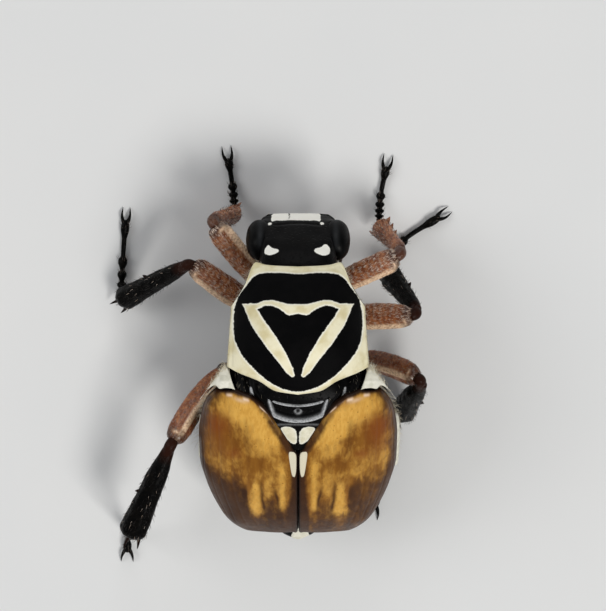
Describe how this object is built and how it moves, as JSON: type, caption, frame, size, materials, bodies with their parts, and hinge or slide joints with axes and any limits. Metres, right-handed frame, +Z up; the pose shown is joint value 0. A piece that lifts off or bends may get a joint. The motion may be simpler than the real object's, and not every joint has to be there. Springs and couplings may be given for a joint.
{
  "type": "delta flower scarab",
  "caption": "Still life-size model of a delta flower scarab: a beetle with a cream triangle on a black pronotum and brown wing cases, standing on its feet.",
  "frame": {"origin": "bottom centre of the bounding box, on the floor that the feet stand on", "axes": "+Z up, -Y towards the head, +X towards the beetle's left"},
  "size_m": [0.0084, 0.0106, 0.005],
  "materials": {
    "black_cuticle": "black shell with cream scale markings and fine pale hairs",
    "wing_case": "glossy amber to dark brown wing cases with fine lengthwise lines",
    "brown_cuticle": "semi-gloss red-brown shell with pale hairs",
    "black_leg": "semi-gloss black shell, pitted and haired",
    "eye": "glossy black, finely faceted"
  },
  "bodies": {
    "root": {"head": "black_cuticle", "prothorax": "black_cuticle", "mesothorax": "black_cuticle", "metathorax": "black_cuticle", "abdomen": "black_cuticle", "eye_left": "eye", "eye_right": "eye", "antenna_left": "brown_cuticle", "antenna_right": "brown_cuticle", "elytron_left": "wing_case", "elytron_right": "wing_case", "front_left_femur": "brown_cuticle", "front_left_tibia": "brown_cuticle", "front_left_tarsus": "black_leg", "front_right_femur": "brown_cuticle", "front_right_tibia": "brown_cuticle", "front_right_tarsus": "black_leg", "middle_left_femur": "brown_cuticle", "middle_left_tibia": "black_leg", "middle_left_tarsus": "black_leg", "middle_right_femur": "brown_cuticle", "middle_right_tibia": "black_leg", "middle_right_tarsus": "black_leg", "hind_left_femur": "brown_cuticle", "hind_left_tibia": "black_leg", "hind_left_tarsus": "black_leg", "hind_right_femur": "brown_cuticle", "hind_right_tibia": "black_leg", "hind_right_tarsus": "black_leg"}
  },
  "joints": []
}
